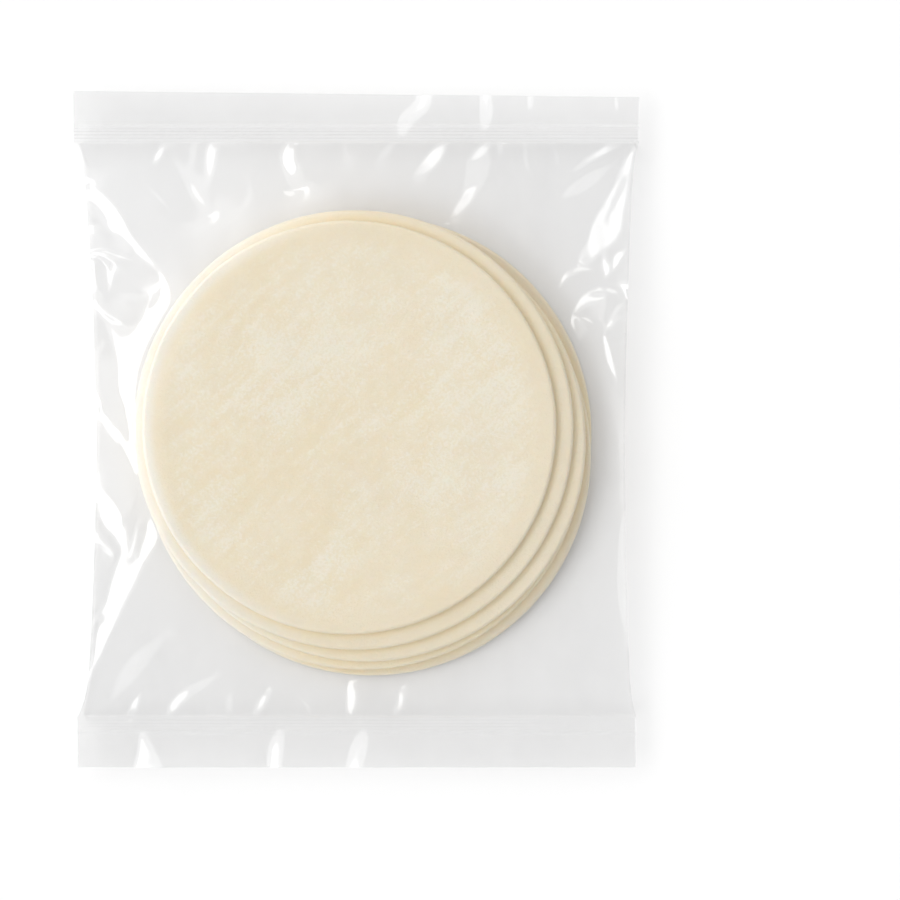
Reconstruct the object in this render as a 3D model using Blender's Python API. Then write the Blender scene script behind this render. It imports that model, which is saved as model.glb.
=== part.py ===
"""Six round dumpling wrappers stacked in a clear film bag that is sealed at its top and bottom, lying on its back.

The bag is one closed solid: the film drapes over the stack, steps down over the rims that show,
runs out to the folded sides and ends in two flat sealed headers. Metres, +Z up, +Y towards the top header.
"""

import math

import bmesh
import bpy

# Wrappers, from the top one down: centre x, centre y, radius.
WRAPPERS = (
    (-0.0016, 0.0004, 0.0470),
    (-0.0004, -0.0002, 0.0498),
    (0.0021, -0.0029, 0.0500),
    (0.0014, -0.0045, 0.0502),
    (0.0035, -0.0062, 0.0500),
    (0.0036, -0.0011, 0.0495),
)
WRAPPER_THICKNESS = 0.0016
FILM = 0.0001
STACK_FOOT = 0.00015  # the lowest wrapper lies on the back film

# Bag outline
BAG_WIDTH = 0.129
BAG_LENGTH = 0.154
SEAL_INNER = 0.0655  # the sealed bands start this far from the middle
SEAL_OUTER = 0.0685
LEFT_WAIST = 0.0048  # how far the folded sides draw in at mid length
RIGHT_WAIST = 0.0029
SHOULDER = 0.0046  # the draw-in grows over this length next to a header
SHOULDER_SHARE = 0.55
LEFT_LEAN = 0.0010  # the lower header is this much narrower on the left
RIGHT_LEAN = 0.0008
CORNER_DROP = 0.0014  # the top edge falls towards its right corner

# Heights
HEADER_HEIGHT = 0.0013  # middle of the film at the headers
SIDE_HEIGHT = 0.0030  # middle of the film at the sides, half way down
HALF_EDGE = 0.00025  # half of the closed edge's thickness
DRAPE = 2.9  # how quickly the film falls away from a rim
SEAL_RIDGE = 0.00020
SEAL_RIDGES = 3
FLAP_WAVE = 0.0007

# Mesh
SIDE_STEPS = 36
RIM_FOOT = 0.0009
RIM_GAP = 0.00025
FILM_RINGS = 8
FLAP_ROWS = 3

# Folds where the slack film creases: from x, y, to x, y, half width, height
FOLDS = (
    (-0.0618, 0.0545, -0.0432, 0.0335, 0.0040, 0.0022),
    (-0.0432, 0.0335, -0.0500, 0.0110, 0.0030, 0.0016),
    (-0.0600, 0.0300, -0.0470, 0.0290, 0.0035, -0.0014),
    (-0.0460, -0.0215, -0.0612, -0.0585, 0.0042, 0.0020),
    (-0.0595, -0.0130, -0.0530, -0.0290, 0.0030, 0.0012),
    (0.0637, 0.0630, 0.0505, 0.0385, 0.0042, 0.0022),
    (0.0490, 0.0265, 0.0612, 0.0302, 0.0030, 0.0014),
    (0.0560, 0.0225, 0.0600, 0.0100, 0.0026, 0.0010),
    (0.0500, -0.0225, 0.0625, -0.0580, 0.0042, 0.0018),
)


def smoothstep(value):
    value = min(max(value, 0.0), 1.0)
    return value * value * (3 - 2 * value)


def waist(y):
    """Share of the full draw-in at this y, 0 at the headers and 1 half way down."""
    inside = SEAL_INNER - abs(y)
    if inside <= 0:
        return 0.0
    shoulder = 1 - math.exp(-inside / SHOULDER)
    belly = math.sin(math.pi * inside / (2 * SEAL_INNER)) ** 1.5
    return SHOULDER_SHARE * shoulder + (1 - SHOULDER_SHARE) * belly


def left_edge(y):
    lean = LEFT_LEAN * (0.5 - y / BAG_LENGTH)
    return -BAG_WIDTH / 2 + lean + LEFT_WAIST * waist(y)


def right_edge(y):
    lean = RIGHT_LEAN * (0.5 - y / BAG_LENGTH)
    return BAG_WIDTH / 2 - lean - RIGHT_WAIST * waist(y)


def end_edge(x, side):
    """y of the bag's cut end. side is 1 at the top and -1 at the bottom."""
    drop = CORNER_DROP * smoothstep((x - 0.02) / 0.06) if side > 0 else 0.0
    return side * BAG_LENGTH / 2 - drop


def wrapper_top(level):
    return STACK_FOOT + (len(WRAPPERS) - level) * WRAPPER_THICKNESS + FILM


def edge_distance(x, y):
    """Distance to the nearest edge of the body, rounded off where two edges meet."""
    gaps = (
        x - left_edge(y),
        right_edge(y) - x,
        SEAL_INNER - y,
        y + SEAL_INNER,
    )
    if min(gaps) <= 1e-6:
        return 0.0
    return sum(gap**-3 for gap in gaps) ** (-1 / 3)


def stack_distance(x, y):
    """Distance outside the outline of the whole stack, negative inside."""
    return min(math.hypot(x - cx, y - cy) - radius for cx, cy, radius in WRAPPERS)


def flap_wave(x, y):
    """The sealed headers' slow waves, strongest at the cut ends."""
    share = smoothstep((abs(y) - SEAL_INNER) / (BAG_LENGTH / 2 - SEAL_INNER))
    phase = 0.8 if y > 0 else 2.1
    wave = math.sin(x / 0.0085 + phase) + 0.6 * math.sin(x / 0.0049 + 2 * phase)
    return FLAP_WAVE * share * wave / 1.6


def middle_height(x, y):
    """Height of the line where front and back film meet."""
    side = smoothstep((abs(x) / (BAG_WIDTH / 2) - 0.6) / 0.4)
    belly = math.cos(math.pi * min(abs(y) / SEAL_INNER, 1.0) / 2)
    rise = (SIDE_HEIGHT - HEADER_HEIGHT) * side * belly
    return HEADER_HEIGHT + rise + flap_wave(x, y)


def fold_height(x, y):
    """All the folds together, fading out over the stack and at the edges."""
    total = 0.0
    for ax, ay, bx, by, half_width, height in FOLDS:
        dx, dy = bx - ax, by - ay
        along = ((x - ax) * dx + (y - ay) * dy) / (dx * dx + dy * dy)
        along = min(max(along, 0.0), 1.0)
        away = math.hypot(x - ax - along * dx, y - ay - along * dy)
        total += height * math.exp(-((away / half_width) ** 2))
    free = smoothstep(stack_distance(x, y) / 0.004)
    edge = smoothstep(edge_distance(x, y) / 0.003)
    return total * free * edge


def front_height(x, y):
    """Top of the front film."""
    middle = middle_height(x, y)
    away_edge = edge_distance(x, y)
    highest = middle
    for level, (cx, cy, radius) in enumerate(WRAPPERS):
        away = math.hypot(x - cx, y - cy) - radius
        share = away / (away + away_edge) if away > 0 else 0.0
        reach = wrapper_top(level) - middle
        highest = max(highest, middle + reach * (1 - share) ** DRAPE)
    return highest + HALF_EDGE * (1 - smoothstep(away_edge / 0.01)) + fold_height(x, y)


def back_height(x, y):
    """Underside of the back film: flat under the stack, rising to the edges."""
    away = stack_distance(x, y) - RIM_FOOT
    if away <= 0:
        return 0.0
    share = away / (away + edge_distance(x, y))
    return (middle_height(x, y) - HALF_EDGE) * share**DRAPE


def body_boundary():
    """Points round the body, anticlockwise from its lower right corner."""
    steps = [i / SIDE_STEPS for i in range(SIDE_STEPS)]
    points = []
    for s in steps:
        y = SEAL_INNER * (2 * s - 1)
        points.append((right_edge(y), y))
    left, right = left_edge(SEAL_INNER), right_edge(SEAL_INNER)
    for s in steps:
        points.append((right + (left - right) * s, SEAL_INNER))
    for s in steps:
        y = SEAL_INNER * (1 - 2 * s)
        points.append((left_edge(y), y))
    left, right = left_edge(-SEAL_INNER), right_edge(-SEAL_INNER)
    for s in steps:
        points.append((left + (right - left) * s, -SEAL_INNER))
    return points


def reach_to_rim(ux, uy, wrapper):
    """Distance from the top wrapper's centre along (ux, uy) to a wrapper's rim."""
    ox, oy = wrapper[0] - WRAPPERS[0][0], wrapper[1] - WRAPPERS[0][1]
    along = ux * ox + uy * oy
    return along + math.sqrt(wrapper[2] ** 2 - (ox * ox + oy * oy) + along * along)


def ray_reaches(ux, uy, length):
    """Distances along one ray where the film has a ring: at each rim, at its foot, then on to the edge."""
    rims = []
    for wrapper in WRAPPERS:
        rim = reach_to_rim(ux, uy, wrapper)
        rims.append(max(rim, rims[-1] + RIM_GAP) if rims else rim)
    reaches = []
    for rim, beyond in zip(rims, rims[1:] + [length]):
        reaches.append(rim)
        reaches.append(rim + min(RIM_FOOT, 0.5 * (beyond - rim)))
    start = reaches[-1]
    for ring in range(1, FILM_RINGS + 1):
        reaches.append(start + (length - start) * ring / FILM_RINGS)
    return reaches


def body_rings():
    """Rings of (x, y), from the flat top of the stack out to the body's boundary."""
    centre_x, centre_y, _ = WRAPPERS[0]
    rays = []
    for x, y in body_boundary():
        dx, dy = x - centre_x, y - centre_y
        length = math.hypot(dx, dy)
        ux, uy = dx / length, dy / length
        reaches = ray_reaches(ux, uy, length)
        rays.append([(centre_x + ux * r, centre_y + uy * r) for r in reaches])
    return [list(ring) for ring in zip(*rays)]


def header_rows(side):
    """(y at the seal, share of the flap's length, ridge height) for each row of a header, outwards."""
    band = SEAL_OUTER - SEAL_INNER
    rows = []
    for step in range(1, 2 * SEAL_RIDGES + 1):
        ridge = SEAL_RIDGE if step % 2 else 0.0
        rows.append((side * (SEAL_INNER + band * step / (2 * SEAL_RIDGES)), 0.0, ridge))
    for row in range(1, FLAP_ROWS + 1):
        rows.append((side * SEAL_OUTER, row / FLAP_ROWS, 0.0))
    return rows


def add_header(bm, seam, side):
    """Adds a header's front face beyond the seam, a row of vertices along the seal's inner edge."""
    previous = seam
    for seal_y, share, ridge in header_rows(side):
        row = []
        for inner in seam:
            x = inner.co.x
            y = seal_y + (end_edge(x, side) - seal_y) * share
            z = middle_height(x, y) + HALF_EDGE + ridge
            row.append(bm.verts.new((x, y, z)))
        for i in range(len(row) - 1):
            bm.faces.new((previous[i], row[i], row[i + 1], previous[i + 1]))
        previous = row


def front_film(bm):
    """The front face of the whole bag, as an open sheet that faces up."""
    rings = [
        [bm.verts.new((x, y, front_height(x, y))) for x, y in ring]
        for ring in body_rings()
    ]
    count = len(rings[0])
    bm.faces.new(rings[0])
    for inner, outer in zip(rings, rings[1:]):
        for i in range(count):
            j = (i + 1) % count
            bm.faces.new((inner[i], outer[i], outer[j], inner[j]))
    rim = rings[-1]
    add_header(bm, rim[SIDE_STEPS : 2 * SIDE_STEPS + 1], 1)
    add_header(bm, rim[3 * SIDE_STEPS :] + rim[:1], -1)


def close_underneath(bm):
    """Copies the front sheet as the back, sets its heights and walls up the edge between them."""
    front_edges = [edge for edge in bm.edges if edge.is_boundary]
    copied = bmesh.ops.duplicate(bm, geom=bm.verts[:] + bm.edges[:] + bm.faces[:])
    back_faces = [item for item in copied["geom"] if isinstance(item, bmesh.types.BMFace)]
    back_verts = [item for item in copied["geom"] if isinstance(item, bmesh.types.BMVert)]
    for vert in back_verts:
        x, y, _ = vert.co
        if abs(y) > SEAL_INNER:
            vert.co.z = middle_height(x, y) - HALF_EDGE
        else:
            vert.co.z = back_height(x, y)
    bmesh.ops.reverse_faces(bm, faces=back_faces)
    twin = copied["vert_map"]
    for edge in front_edges:
        a, b = edge.verts
        bm.faces.new((a, b, twin[b], twin[a]))
    bmesh.ops.recalc_face_normals(bm, faces=bm.faces[:])


def sealed_bag(collection):
    bm = bmesh.new()
    front_film(bm)
    close_underneath(bm)
    bmesh.ops.dissolve_limit(
        bm, angle_limit=math.radians(0.02), verts=bm.verts[:], edges=bm.edges[:]
    )
    bmesh.ops.triangulate(bm, faces=bm.faces[:])
    mesh = bpy.data.meshes.new("sealed_bag")
    bm.to_mesh(mesh)
    bm.free()
    bag = bpy.data.objects.new("sealed_bag", mesh)
    collection.objects.link(bag)
    mesh.shade_smooth()
    mesh.set_sharp_from_angle(angle=math.radians(40))
    return bag


def wrapped_dough():
    """Pale dough seen through clear film."""
    material = bpy.data.materials.new("wrapped_dough")
    material.use_nodes = True
    shader = material.node_tree.nodes["Principled BSDF"]
    shader.inputs["Base Color"].default_value = (0.85, 0.78, 0.62, 1.0)
    shader.inputs["Roughness"].default_value = 0.35
    shader.inputs["Metallic"].default_value = 0.0
    return material


def clear_scene():
    for old in list(bpy.data.objects):
        bpy.data.objects.remove(old, do_unlink=True)


def main():
    clear_scene()
    collection = bpy.data.collections.new("dumpling_wrapper_pack")
    bpy.context.scene.collection.children.link(collection)
    bag = sealed_bag(collection)
    bag.data.materials.append(wrapped_dough())


main()
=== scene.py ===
import math

import bmesh
import bpy
import numpy as np
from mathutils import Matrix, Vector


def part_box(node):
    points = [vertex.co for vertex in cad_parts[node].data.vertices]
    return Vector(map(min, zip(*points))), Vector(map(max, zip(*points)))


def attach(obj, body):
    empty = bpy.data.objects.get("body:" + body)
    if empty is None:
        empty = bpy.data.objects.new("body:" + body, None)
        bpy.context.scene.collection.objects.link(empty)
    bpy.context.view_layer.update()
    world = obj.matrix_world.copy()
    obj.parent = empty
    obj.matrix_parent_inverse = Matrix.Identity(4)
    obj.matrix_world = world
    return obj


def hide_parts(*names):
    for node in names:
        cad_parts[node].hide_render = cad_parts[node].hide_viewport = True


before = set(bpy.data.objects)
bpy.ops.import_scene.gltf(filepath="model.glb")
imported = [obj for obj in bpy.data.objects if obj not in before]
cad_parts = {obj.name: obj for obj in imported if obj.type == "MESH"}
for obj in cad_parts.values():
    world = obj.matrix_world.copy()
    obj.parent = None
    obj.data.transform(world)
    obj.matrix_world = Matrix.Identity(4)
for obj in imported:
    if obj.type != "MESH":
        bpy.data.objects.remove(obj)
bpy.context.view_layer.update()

mm = 0.001  # lengths below are in millimetres, meshes in metres
lowCorner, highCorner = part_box("sealed_bag")
bagWidth, bagLength = (highCorner[axis] / mm - lowCorner[axis] / mm for axis in (0, 1))


class Socket:  # an output socket that Python's own operators work on
    def __init__(self, work, socket):
        self.work = work
        self.socket = socket

    def maths(self, operation, *values):
        return self.work.make("ShaderNodeMath", {"operation": operation}, dict(enumerate(values)))

    def __add__(self, other):
        return self.maths("ADD", self, other)

    def __sub__(self, other):
        return self.maths("SUBTRACT", self, other)

    def __rsub__(self, other):
        return self.maths("SUBTRACT", other, self)

    def __mul__(self, other):
        return self.maths("MULTIPLY", self, other)

    def __truediv__(self, other):
        return self.maths("DIVIDE", self, other)

    def __pow__(self, other):
        return self.maths("POWER", self, other)

    __radd__ = __add__
    __rmul__ = __mul__

    def clamped(self):
        return self.maths("MINIMUM", self.maths("MAXIMUM", self, 0.0), 1.0)

    def output(self, name):
        return Socket(self.work, self.socket.node.outputs[name])


class NodeWork:  # adds nodes to one tree
    def __init__(self, tree):
        self.tree = tree
        tree.nodes.clear()

    def make(self, kind, settings=None, values=None):
        node = self.tree.nodes.new(kind)
        for name, value in (settings or {}).items():
            setattr(node, name, value)
        for name, value in (values or {}).items():
            if isinstance(value, Socket):
                self.tree.links.new(value.socket, node.inputs[name])
            else:
                node.inputs[name].default_value = value
        shown = [socket for socket in node.outputs if socket.enabled]
        return Socket(self, shown[0]) if shown else node

    def mix(self, share, first, second):
        return self.make("ShaderNodeMix", {"data_type": "RGBA"}, {0: share, 6: first, 7: second})

    def vector(self, operation, *values):
        return self.make("ShaderNodeVectorMath", {"operation": operation}, dict(enumerate(values)))

    def between(self, value, low, high, start=0.0, end=1.0):  # eases from start to end
        return self.make("ShaderNodeMapRange", {"interpolation_type": "SMOOTHSTEP"},
                         {0: value, 1: low, 2: high, 3: start, 4: end})

    def noise(self, place, scale, detail=2.0, roughness=0.5, distortion=0.0):
        return self.make("ShaderNodeTexNoise", None,
                         {"Vector": place, "Scale": scale, "Detail": detail,
                          "Roughness": roughness, "Distortion": distortion})


def newMaterial(name):
    material = bpy.data.materials.new(name)
    material.use_nodes = True
    return material, NodeWork(material.node_tree)


studio = {
    "floorSide": 12000.0,
    "floorDrop": 0.15,       # the floor stays this far under the bag
    "floorColour": (0.98, 0.98, 0.98),
    "sky": 0.56,
    "horizon": (0.93, 0.93, 0.93),   # what the camera sees past the floor
    # azimuth and angle from straight up of each soft light, its half widths, its strength
    "lights": [(178, 48, 60, 9, 2.8), (165, 52, 75, 32, 0.75), (84, 68, 24, 6, 1.8)],
    "softness": 0.5,         # share of a light's half width over which it fades out
}
view = {
    "pictureWidth": 205.47,  # of table that the picture shows
    "centre": (21.3, -4.75),
    "lens": 300.0,
    "sensor": 36.0,
    "filmLayers": 24,        # a sight line passes this many
}


def makeFloor():
    half = studio["floorSide"] * mm / 2
    mesh = bpy.data.meshes.new("floor")
    corners = [(-half, -half), (half, -half), (half, half), (-half, half)]
    mesh.from_pydata([(x, y, -studio["floorDrop"] * mm) for x, y in corners], [], [(0, 1, 2, 3)])
    floor = bpy.data.objects.new("floor", mesh)
    bpy.context.scene.collection.objects.link(floor)
    material, work = newMaterial("pale_floor")
    paint = work.make("ShaderNodeBsdfDiffuse", None, {"Color": (*studio["floorColour"], 1)})
    work.make("ShaderNodeOutputMaterial", None, {"Surface": paint})
    mesh.materials.append(material)


def softLight(work, direction, azimuth, fromUp, halfWide, halfHigh, strength):
    turn = math.radians(azimuth)
    parts = work.make("ShaderNodeSeparateXYZ", None, {0: direction})
    x, y, z = parts.output("X"), parts.output("Y"), parts.output("Z")
    ahead = x * math.cos(turn) + y * math.sin(turn)
    aside = y * math.cos(turn) - x * math.sin(turn)
    across = aside.maths("ARCTAN2", aside, ahead) / math.radians(halfWide)
    down = (z.maths("ARCCOSINE", z) - math.radians(fromUp)) / math.radians(halfHigh)
    away = (across * across + down * down) ** 0.5
    soft = studio["softness"]
    return work.between((1 + soft / 2 - away) / soft, 0.0, 1.0) * strength


def makeLight():
    world = bpy.data.worlds.new("soft_studio")
    bpy.context.scene.world = world
    world.use_nodes = True
    work = NodeWork(world.node_tree)
    direction = work.make("ShaderNodeTexCoord").output("Generated")
    glow = sum((softLight(work, direction, *light) for light in studio["lights"]), studio["sky"])
    lit = work.make("ShaderNodeBackground", None, {"Color": (1, 1, 1, 1), "Strength": glow})
    plain = work.make("ShaderNodeBackground", None, {"Color": (*studio["horizon"], 1), "Strength": 1.0})
    seen = work.make("ShaderNodeLightPath").output("Is Camera Ray")
    both = work.make("ShaderNodeMixShader", None, {0: seen, 1: lit, 2: plain})
    work.make("ShaderNodeOutputWorld", None, {"Surface": both})


def makeCamera():
    data = bpy.data.cameras.new("from_above")
    data.lens = view["lens"]
    data.sensor_width = view["sensor"]
    distance = view["pictureWidth"] * view["lens"] / view["sensor"]
    camera = bpy.data.objects.new("from_above", data)
    camera.location = (view["centre"][0] * mm, view["centre"][1] * mm, distance * mm)
    data.clip_start = 0.01
    data.clip_end = 100.0
    bpy.context.scene.collection.objects.link(camera)
    bpy.context.scene.camera = camera
    bpy.context.scene.view_settings.view_transform = "Standard"
    bpy.context.scene.cycles.transparent_max_bounces = view["filmLayers"]


makeFloor()
makeLight()
makeCamera()
print("room ready")


def ease(value):
    value = np.clip(value, 0, 1)
    return value * value * (3 - 2 * value)


def softNoise(x, y, size, seed):  # smooth random field from -1 to 1 with features about size wide
    rng = np.random.default_rng(seed)
    lattice = rng.uniform(-1, 1, (128, 128))
    u, v = x / size + 64.5, y / size + 64.5
    column, row = np.floor(u).astype(int), np.floor(v).astype(int)
    fu, fv = ease(u - column), ease(v - row)
    column, row = column % 127, row % 127
    low = lattice[row, column] * (1 - fu) + lattice[row, column + 1] * fu
    high = lattice[row + 1, column] * (1 - fu) + lattice[row + 1, column + 1] * fu
    return low * (1 - fv) + high * fv


stack = {
    # centre x, centre y and radius, from the top wrapper down
    "wrappers": [(-1.6, 0.4, 47.0), (-0.6, -0.2, 50.0), (2.1, -2.9, 50.0),
                 (1.4, -4.5, 50.2), (3.5, -6.2, 50.0), (3.7, -1.1, 49.8)],
    "thickness": 1.6,
    "foot": 0.15,            # the back film lies under the lowest wrapper
    "gap": 0.02,             # between one wrapper and the next
    "edge": 0.9,             # how far in the rim's rounding reaches
    "underEdge": 0.3,        # and its share on the underside
    "rimRings": 0.3,         # share of the rings that shape the rim
    "droop": 0.75,           # share of the thickness that a rim with nothing under it sinks
    "droopReach": 6.0,
    "wave": 0.10,            # slow rise and fall of the top one
    "relief": 0.02,          # rolled dough's fine relief
    "wobble": 0.35,          # how far the cut is out of round
    "topCells": (361, 121),  # round and across, finer where all of it shows
    "lowerCells": (241, 61),
    "seed": 11,
}
count = len(stack["wrappers"])


def levelOf(index):
    return stack["foot"] + (count - index) * stack["thickness"]


def wrapperTree():
    tree = bpy.data.node_groups.new("wrapper_disc", "GeometryNodeTree")
    work = NodeWork(tree)
    sockets = {}
    tree.interface.new_socket("Geometry", in_out="OUTPUT", socket_type="NodeSocketGeometry")
    kinds = {"Around": "Int", "Rings": "Int", "Dough": "Material"}
    for name in ("Radius", "Thickness", "Edge", "Centre X", "Centre Y", "Underside", "Wave", "Relief",
                 "Wobble", "Seed", "Around", "Rings", "Dough"):
        kind = "NodeSocket" + kinds.get(name, "Float")
        made = tree.interface.new_socket(name, in_out="INPUT", socket_type=kind)
        sockets[name] = made.identifier
    given = work.make("NodeGroupInput")
    value = {name: given.output(name) for name in sockets}
    rimShare = stack["rimRings"]
    grid = work.make("GeometryNodeMeshGrid", None,
                     {"Size X": 1.0, "Size Y": 1.0,
                      "Vertices X": value["Around"], "Vertices Y": value["Rings"]})
    place = work.make("ShaderNodeSeparateXYZ", None, {0: work.make("GeometryNodeInputPosition")})
    angle = (place.output("X") + 0.5) * (2 * math.pi)
    along = place.output("Y") * 2.0          # -1 under the middle, 0 on the rim, 1 over the middle
    side = along.maths("SIGN", along)
    away = along.maths("ABSOLUTE", along)
    bend = (away / rimShare).clamped() * (math.pi / 2)
    inward = (away - rimShare).maths("MAXIMUM", away - rimShare, 0.0) / (1 - rimShare)
    cosine = bend.maths("COSINE", bend)
    sine = bend.maths("SINE", bend)
    around = work.make("ShaderNodeCombineXYZ", None,
                       {0: angle.maths("COSINE", angle), 1: angle.maths("SINE", angle)})
    uneven = work.make("ShaderNodeTexNoise", {"noise_dimensions": "4D"},
                       {"Vector": around, "W": value["Seed"], "Scale": 0.9, "Detail": 2.0})
    rounding = value["Edge"] * work.between(side, -1.0, 1.0, stack["underEdge"], 1.0)
    reach = value["Radius"] + (uneven - 0.5) * 2.0 * value["Wobble"] - rounding * (1 - cosine)
    radius = reach * (1 - inward)
    x = radius * angle.maths("COSINE", angle) + value["Centre X"]
    y = radius * angle.maths("SINE", angle) + value["Centre Y"]
    flat = work.make("ShaderNodeCombineXYZ", None, {0: x, 1: y})
    slow = work.make("ShaderNodeTexNoise", {"noise_dimensions": "2D"},
                     {"Vector": flat, "Scale": 45.0, "Detail": 1.0})
    fine = work.make("ShaderNodeTexNoise", {"noise_dimensions": "4D"},
                     {"Vector": flat, "W": value["Seed"], "Scale": 420.0, "Detail": 2.0})
    lift = (slow - 0.5) * 2.0 * value["Wave"] + (fine - 0.5) * 2.0 * value["Relief"] * inward.clamped()
    half = value["Thickness"] * 0.5
    z = value["Underside"] + half + side * half * (sine ** 0.8) + lift
    marked = work.make("GeometryNodeStoreNamedAttribute", {"data_type": "FLOAT", "domain": "POINT"},
                       {"Geometry": grid, "Name": "fromRim", "Value": (reach - radius) / mm})
    place = work.make("ShaderNodeCombineXYZ", None, {0: x, 1: y, 2: z})
    moved = work.make("GeometryNodeSetPosition", None, {"Geometry": marked, "Position": place})
    closed = work.make("GeometryNodeMergeByDistance", None, {"Geometry": moved, "Distance": 1e-6})
    smooth = work.make("GeometryNodeSetShadeSmooth", None, {"Geometry": closed})
    real = work.make("GeometryNodeRealizeInstances", None, {"Geometry": smooth})
    done = work.make("GeometryNodeSetMaterial", None, {"Geometry": real, "Material": value["Dough"]})
    work.make("NodeGroupOutput", None, {0: done})
    return tree, sockets


dough = {
    "tan": (0.927, 0.817, 0.628, 1),
    "deepTan": (0.92, 0.805, 0.598, 1),
    "flour": (0.972, 0.89, 0.756, 1),
    # pale rim colour: a little flour on every rim, and a painted highlight on the lit left side's rims
    "rimFlourAndGlare": (0.94, 0.885, 0.785, 1),
    "stepShade": (0.98, 0.81, 0.53, 1),   # painted warm shade beside the wrapper above, on the side away from the light
    "stepShadeReach": 1.9,
    "stepShadeShare": 0.65,
    "cover": 0.3,            # mean share of flour, then what each pattern adds to it
    "coverBy": {"patches": 1.0, "blotches": 1.1, "strokes": 0.8, "grain": 1.2, "flecks": 0.5},
    "bareRim": 7.0,          # the flour thins out this near the rim
    "paleRim": 2.6,          # and this much of the lit left side's rim is painted pale as a highlight
    "paleFrom": (-42.0, 0.0),
    "paleElsewhere": 0.08,
    "strokeAngle": 42.0,     # the flour was rubbed along this direction
    "warmth": 40.0,          # noise scales per metre
    "patches": 62.0,
    "blotches": 230.0,
    "strokes": 520.0,
    "grain": 1900.0,
    "bumpDepth": 0.27,
    "lightReach": 1.0,       # how deep light gets into the dough
    "lightShare": 0.5,
}


def doughMaterial():
    material, work = newMaterial("floured_dough")
    place = work.make("ShaderNodeTexCoord").output("Object")
    turned = work.make("ShaderNodeVectorRotate", {"rotation_type": "Z_AXIS"},
                       {"Vector": place, "Angle": math.radians(-dough["strokeAngle"])})
    rubbed = work.vector("MULTIPLY", turned, (0.72, 1.0, 1.0))
    brushed = work.vector("MULTIPLY", turned, (0.16, 1.0, 1.0))
    fromRim = work.make("ShaderNodeAttribute", {"attribute_name": "fromRim"}).output("Fac")
    patches = work.noise(rubbed, dough["patches"], 3.0, 0.55, 0.6) - 0.5
    blotches = work.noise(rubbed, dough["blotches"], 3.0, 0.6, 0.3) - 0.5
    strokes = work.noise(brushed, dough["strokes"], 2.0, 0.5) - 0.5
    grain = work.noise(place, dough["grain"], 3.0, 0.7) - 0.5
    flecks = work.between(grain + 0.3 * strokes + 0.5 * patches, 0.03, 0.13)
    pattern = {"patches": patches, "blotches": blotches, "strokes": strokes,
               "grain": grain, "flecks": flecks}
    cover = sum((share * pattern[name] for name, share in dough["coverBy"].items()), dough["cover"])
    cover = cover.clamped() * work.between(fromRim, 0.5, dough["bareRim"], 0.2, 1.0)
    warm = work.between(work.noise(place, dough["warmth"], 2.0), 0.35, 0.65)
    bare = work.mix(warm, dough["deepTan"], dough["tan"])
    colour = work.mix(cover, bare, dough["flour"])
    fromAbove = work.make("ShaderNodeAttribute", {"attribute_name": "fromAbove"}).output("Fac")
    side = work.make("ShaderNodeSeparateXYZ", None, {0: place})
    litSide = work.between(side, *(x * mm for x in dough["paleFrom"]), 1.0, 0.0)
    # painted warm shade: the lower wrapper is tinted beside the rim of the one above, but not on the lit
    # left side
    stepShade = work.between(fromAbove, 0.3, dough["stepShadeReach"], dough["stepShadeShare"], 0.0) * (1 - litSide)
    colour = work.mix(stepShade, colour, dough["stepShade"])
    # painted highlight: rims are paler on the lit left side, with a small share of pale flour on the
    # other rims
    paleShare = dough["paleElsewhere"] + (1 - dough["paleElsewhere"]) * litSide
    pale = work.between(fromRim, 0.0, dough["paleRim"], 1.0, 0.0) * paleShare
    colour = work.mix(pale, colour, dough["rimFlourAndGlare"])
    bump = work.make("ShaderNodeBump", None,
                     {"Strength": 0.8, "Distance": dough["bumpDepth"] * mm,
                      "Height": 0.5 + grain + 0.3 * blotches})
    surface = work.make("ShaderNodeBsdfPrincipled", None,
                        {"Base Color": colour, "Roughness": 0.75 + 0.15 * cover, "Normal": bump,
                         "Specular IOR Level": 0.2, "Subsurface Weight": dough["lightShare"],
                         "Subsurface Radius": (1.0, 0.8, 0.6),
                         "Subsurface Scale": dough["lightReach"] * mm})
    work.make("ShaderNodeOutputMaterial", None, {"Surface": surface})
    return material


def makeWrapper(index, tree, sockets, material):
    x, y, radius = stack["wrappers"][index]
    cellsAround, rings = stack["topCells"] if index == 0 else stack["lowerCells"]
    name = f"wrapper_{index + 1}"
    shell = bpy.data.objects.new(name + "_nodes", bpy.data.meshes.new(name + "_nodes"))
    bpy.context.scene.collection.objects.link(shell)
    modifier = shell.modifiers.new("disc", "NODES")
    modifier.node_group = tree
    share = (count - index) / count          # the lower ones lie flatter
    settings = {
        "Radius": radius * mm, "Centre X": x * mm, "Centre Y": y * mm,
        "Thickness": (stack["thickness"] - stack["gap"]) * mm, "Edge": stack["edge"] * mm,
        "Underside": (levelOf(index) - stack["thickness"]) * mm,
        "Wave": stack["wave"] * share * mm, "Relief": stack["relief"] * mm,
        "Wobble": stack["wobble"] * mm, "Seed": float(stack["seed"] + index),
        "Around": cellsAround, "Rings": rings, "Dough": material,
    }
    for label, value in settings.items():
        modifier[sockets[label]] = value
    bpy.context.view_layer.update()
    evaluated = shell.evaluated_get(bpy.context.evaluated_depsgraph_get())
    mesh = bpy.data.meshes.new_from_object(evaluated)
    mesh.name = name
    bpy.data.objects.remove(shell)
    droop(mesh, index)
    outward(mesh)
    wrapper = bpy.data.objects.new(name, mesh)
    bpy.context.scene.collection.objects.link(wrapper)
    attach(wrapper, "root")
    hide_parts("sealed_bag")


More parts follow.
